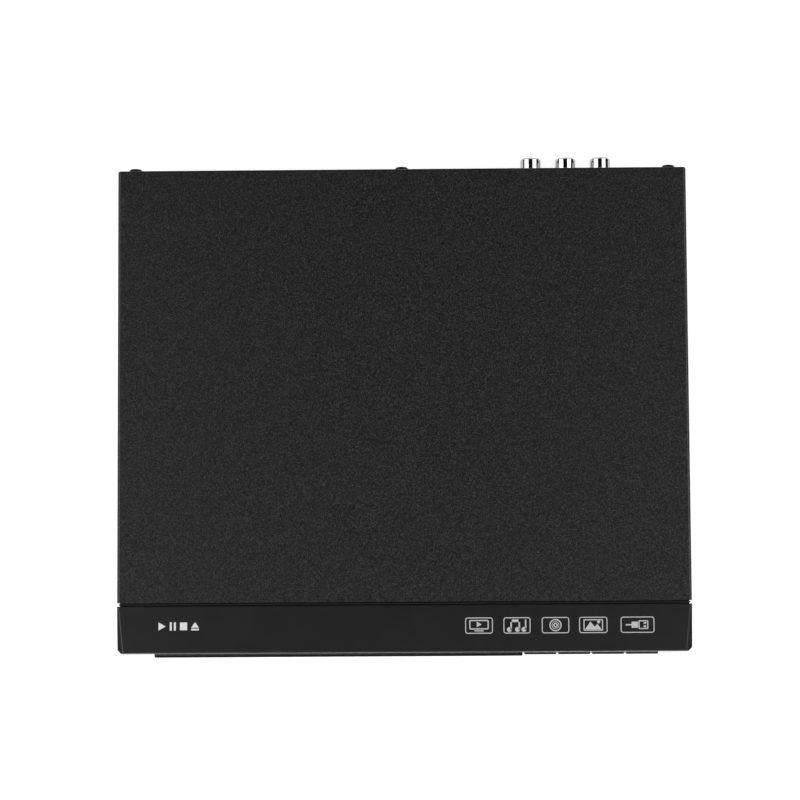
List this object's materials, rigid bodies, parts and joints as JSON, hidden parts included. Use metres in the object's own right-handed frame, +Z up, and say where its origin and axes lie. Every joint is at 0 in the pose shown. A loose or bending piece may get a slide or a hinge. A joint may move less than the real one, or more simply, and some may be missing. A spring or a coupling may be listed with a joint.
{
  "type": "disc player",
  "caption": "Compact front-loading disc player with a sliding motor tray, tilting lift, spinning turntable, travelling pickup, push keys and rear sockets.",
  "frame": {"origin": "centre of the outer box's base, on the surface it stands on", "axes": "+X to the right seen from the front, +Y to the rear, +Z up; the tray comes out along -Y"},
  "size_m": [0.225, 0.1994, 0.04],
  "materials": {
    "cover_paint": "fine textured powder coat",
    "panel_paint": "satin black paint",
    "zinc_sheet": "zinc-plated sheet",
    "bezel_plastic": "smooth black moulding",
    "door_plastic": "polished black moulding",
    "key_plastic": "black moulding",
    "window_smoke": "dark red-black clear moulding",
    "foot_rubber": "matt rubber",
    "black_screw": "black oxide",
    "bright_screw": "zinc plate",
    "barrel_plate": "bright nickel plate",
    "contact_plate": "plated contact",
    "socket_shell": "tin-plated shell",
    "socket_black": "black moulding",
    "insulator": "coloured moulding",
    "board": "solder mask",
    "component": "epoxy and sleeve",
    "connector": "pale moulding",
    "wire": "wire sleeve",
    "fuse_glass": "clear tube with metal caps",
    "heatsink": "extruded",
    "loader_plastic": "grained black moulding",
    "tray_plastic": "satin black moulding",
    "gear_plastic": "natural moulding",
    "chassis_steel": "pressed steel",
    "turntable_plastic": "dark moulding",
    "pickup_metal": "die-cast",
    "lens_glass": "coated lens"
  },
  "bodies": {
    "casing": {"top_cover": "cover_paint", "chassis_pan": "zinc_sheet", "rear_panel": "panel_paint", "front_bezel": "bezel_plastic", "ir_window": "window_smoke", "feet": "foot_rubber", "rear_screws": "black_screw", "inner_screws": "bright_screw", "power_board": "board", "transformer": "component", "power_capacitors": "component", "mains_fuse": "fuse_glass", "power_heatsink": "heatsink", "mains_inlet": "socket_black", "inlet_pins": "contact_plate", "main_board": "board", "board_chips": "component", "board_capacitors": "component", "board_connectors": "connector", "rca_housing": "socket_black", "rca_barrels": "barrel_plate", "rca_insulators": "insulator", "rca_contacts": "contact_plate", "hdmi_socket": "socket_shell", "socket_tongues": "socket_black", "front_board": "board", "tact_switches": "component", "ir_receiver": "component", "usb_socket": "socket_shell", "power_harness": "wire", "pickup_ribbon": "connector", "front_ribbon": "connector", "loader_frame": "loader_plastic", "clamp_bridge": "zinc_sheet", "loading_motor": "chassis_steel", "drive_belt": "foot_rubber"},
    "tray": {"disc_tray": "tray_plastic", "tray_door": "door_plastic"},
    "tray_drive_gear": {"tray_gear": "gear_plastic"},
    "tray_belt_gear": {"belt_gear": "gear_plastic"},
    "tray_motor_pulley": {"motor_pulley": "gear_plastic"},
    "cam": {"cam_slider": "loader_plastic"},
    "lift": {"lift_frame": "loader_plastic", "traverse_chassis": "chassis_steel", "dampers": "foot_rubber", "spindle_motor": "chassis_steel", "guide_rods": "bright_screw", "sled_motor": "chassis_steel"},
    "spindle": {"rotor": "chassis_steel", "turntable": "turntable_plastic", "turntable_pad": "foot_rubber"},
    "sled_screw": {"lead_screw": "bright_screw"},
    "pickup": {"pickup_base": "pickup_metal"},
    "lens": {"lens_holder": "turntable_plastic", "objective_lens": "lens_glass"},
    "puck": {"clamp_puck": "loader_plastic"},
    "open_close": {"open_close_key": "key_plastic"},
    "play": {"play_key": "key_plastic"},
    "stop": {"stop_key": "key_plastic"},
    "power": {"power_key": "key_plastic"}
  },
  "joints": [
    {"name": "tray_slide", "type": "slide", "parent": "casing", "child": "tray", "axis": [0, -1, 0], "range_m": [0, 0.126]},
    {"name": "tray_gear_spin", "type": "hinge", "parent": "casing", "child": "tray_drive_gear", "pos_m": [-0.07755, -0.076, 0.013], "axis": [0, 0, 1], "range_deg": [0, 1264]},
    {"name": "belt_gear_spin", "type": "hinge", "parent": "casing", "child": "tray_belt_gear", "pos_m": [-0.06055, -0.076, 0.013], "axis": [0, 0, 1], "range_deg": [-3033, 0]},
    {"name": "motor_pulley_spin", "type": "hinge", "parent": "casing", "child": "tray_motor_pulley", "pos_m": [-0.02855, -0.076, 0.0192], "axis": [0, 0, 1], "range_deg": [-9933, 0]},
    {"name": "lift_tilt", "type": "hinge", "parent": "casing", "child": "lift", "pos_m": [-0.02605, 0.046, 0.0184], "axis": [-1, 0, 0], "range_deg": [0, 5.25]},
    {"name": "cam_slide", "type": "slide", "parent": "casing", "child": "cam", "axis": [1, 0, 0], "range_m": [0, 0.022]},
    {"name": "turntable_spin", "type": "hinge", "parent": "lift", "child": "spindle", "pos_m": [-0.02605, -0.02758, 0.01967], "axis": [0, -0.0916, 0.9958], "continuous": true},
    {"name": "sled_slide", "type": "slide", "parent": "lift", "child": "pickup", "axis": [0, 0.9958, 0.0916], "range_m": [0, 0.035]},
    {"name": "lead_screw_spin", "type": "hinge", "parent": "lift", "child": "sled_screw", "pos_m": [-0.00055, -0.00327, 0.01196], "axis": [0, 0.9958, 0.0916], "range_deg": [0, 4410]},
    {"name": "lens_focus", "type": "slide", "parent": "pickup", "child": "lens", "axis": [0, -0.0916, 0.9958], "range_m": [-0.0006, 0.0006], "stiffness_N_per_m": 60},
    {"name": "puck_spin", "type": "hinge", "parent": "casing", "child": "puck", "pos_m": [-0.02605, -0.02715, 0.028], "axis": [0, 0, 1], "continuous": true},
    {"name": "open_close_press", "type": "slide", "parent": "casing", "child": "open_close", "axis": [0, 1, 0], "range_m": [0, 0.0005], "stiffness_N_per_m": 1200},
    {"name": "play_press", "type": "slide", "parent": "casing", "child": "play", "axis": [0, 1, 0], "range_m": [0, 0.0005], "stiffness_N_per_m": 1200},
    {"name": "stop_press", "type": "slide", "parent": "casing", "child": "stop", "axis": [0, 1, 0], "range_m": [0, 0.0005], "stiffness_N_per_m": 1200},
    {"name": "power_press", "type": "slide", "parent": "casing", "child": "power", "axis": [0, 1, 0], "range_m": [0, 0.0005], "stiffness_N_per_m": 1200}
  ],
  "couplings": [
    {"joint": "tray_gear_spin", "follows": "tray_slide", "rad_per_m": 166.67},
    {"joint": "belt_gear_spin", "follows": "tray_slide", "rad_per_m": -400},
    {"joint": "motor_pulley_spin", "follows": "tray_slide", "rad_per_m": -1310.3},
    {"joint": "cam_slide", "follows": "lift_tilt", "m_per_rad": 0.23981},
    {"joint": "lead_screw_spin", "follows": "sled_slide", "rad_per_m": 2094.4}
  ]
}
